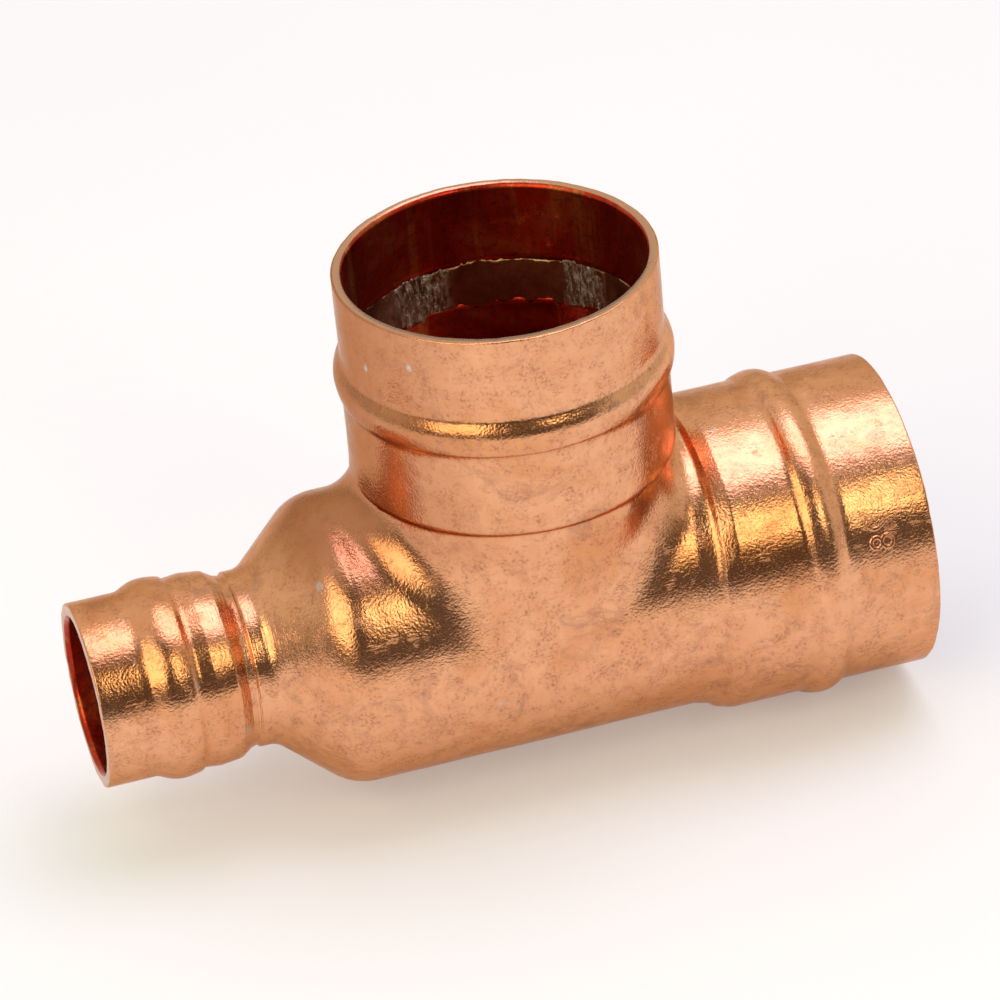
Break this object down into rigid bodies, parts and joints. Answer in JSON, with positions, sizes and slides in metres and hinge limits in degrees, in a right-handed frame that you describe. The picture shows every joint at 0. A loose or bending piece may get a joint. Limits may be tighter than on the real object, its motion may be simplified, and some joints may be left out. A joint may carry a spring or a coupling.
{
  "type": "tee fitting",
  "caption": "Copper solder-ring reducing tee, with a large branch socket, a large run socket and a small run socket for copper tube.",
  "frame": {"origin": "where the run axis meets the branch axis", "axes": "+X along the run to the 28 mm socket, -X to the reduced 15 mm socket, +Z along the branch to its 28 mm socket"},
  "size_m": [0.0794, 0.0318, 0.0523],
  "materials": {
    "copper": "bright formed copper, lightly tarnished",
    "solder": "dull silver-grey soft solder"
  },
  "bodies": {
    "root": {"tee_body": "copper", "solder_ring_branch": "solder", "solder_ring_run": "solder", "solder_ring_reduced": "solder"}
  },
  "joints": []
}
